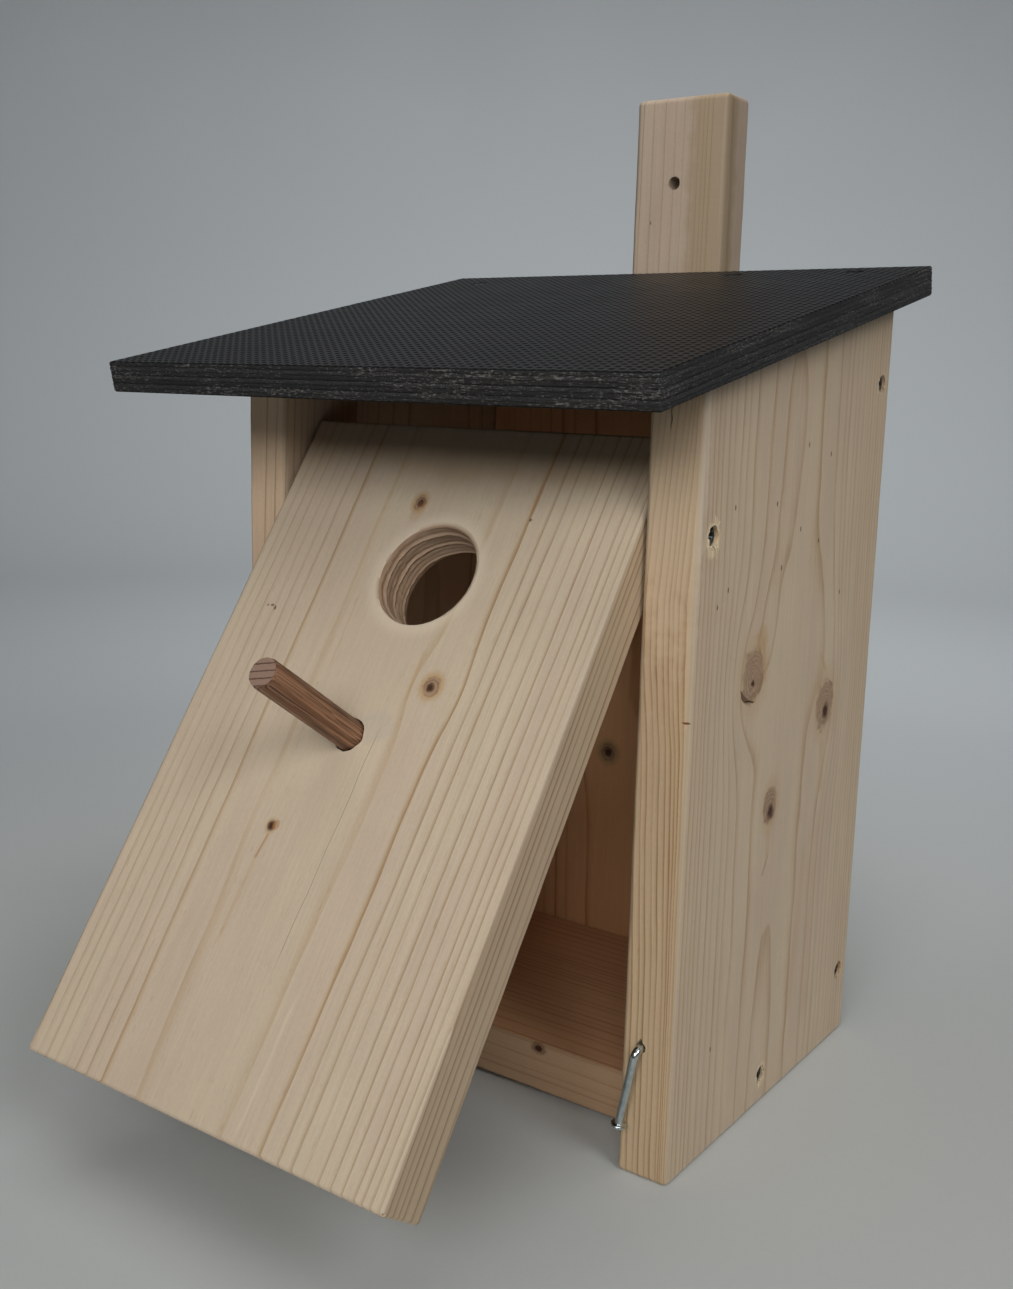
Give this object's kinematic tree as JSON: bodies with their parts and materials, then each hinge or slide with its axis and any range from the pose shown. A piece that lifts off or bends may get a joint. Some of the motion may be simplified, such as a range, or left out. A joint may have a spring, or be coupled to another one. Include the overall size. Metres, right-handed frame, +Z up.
{
  "type": "birdhouse",
  "caption": "Spruce nest box with a tilting front, round entrance, perch, bent-nail latch, sloping black plywood roof and a batten for hanging it up.",
  "frame": {"origin": "on the surface it stands on, under the middle of the bounding box with the front tilted open as stored", "axes": "+Z up, the front faces -Y so that +Y points at the wall or post it is fixed to, +X to the right seen from the front"},
  "size_m": [0.207, 0.2741, 0.356],
  "materials": {
    "spruce": "planed, unfinished spruce with visible growth rings and knots",
    "film_faced_plywood": "black phenolic film with a fine wire-mesh pattern, black-painted layered edges",
    "hardwood": "unfinished reddish hardwood dowel with dark pores",
    "zinc_steel": "bright zinc-plated steel wire and screws"
  },
  "bodies": {
    "housing": {"left_side_panel": "spruce", "right_side_panel": "spruce", "back_panel": "spruce", "floor_panel": "spruce", "roof_panel": "film_faced_plywood", "mounting_batten": "spruce", "pivot_screw_left": "zinc_steel", "pivot_screw_right": "zinc_steel", "back_screw_left_upper": "zinc_steel", "back_screw_left_lower": "zinc_steel", "back_screw_right_upper": "zinc_steel", "back_screw_right_lower": "zinc_steel", "floor_screw_left": "zinc_steel", "floor_screw_right": "zinc_steel", "roof_screw_left": "zinc_steel", "roof_screw_middle": "zinc_steel", "roof_screw_right": "zinc_steel", "batten_screw_upper": "zinc_steel", "batten_screw_lower": "zinc_steel"},
    "front": {"front_door": "spruce", "perch_dowel": "hardwood"},
    "latch": {"latch_nail": "zinc_steel"}
  },
  "joints": [
    {"name": "door_hinge", "type": "hinge", "parent": "housing", "child": "front", "pos_m": [0, -0.01403, 0.204], "axis": [-1, 0, 0], "range_deg": [-34.7, 77]},
    {"name": "latch_turn", "type": "hinge", "parent": "housing", "child": "latch", "pos_m": [0.0792, -0.02303, 0.044], "axis": [0, 1, 0], "continuous": true}
  ]
}
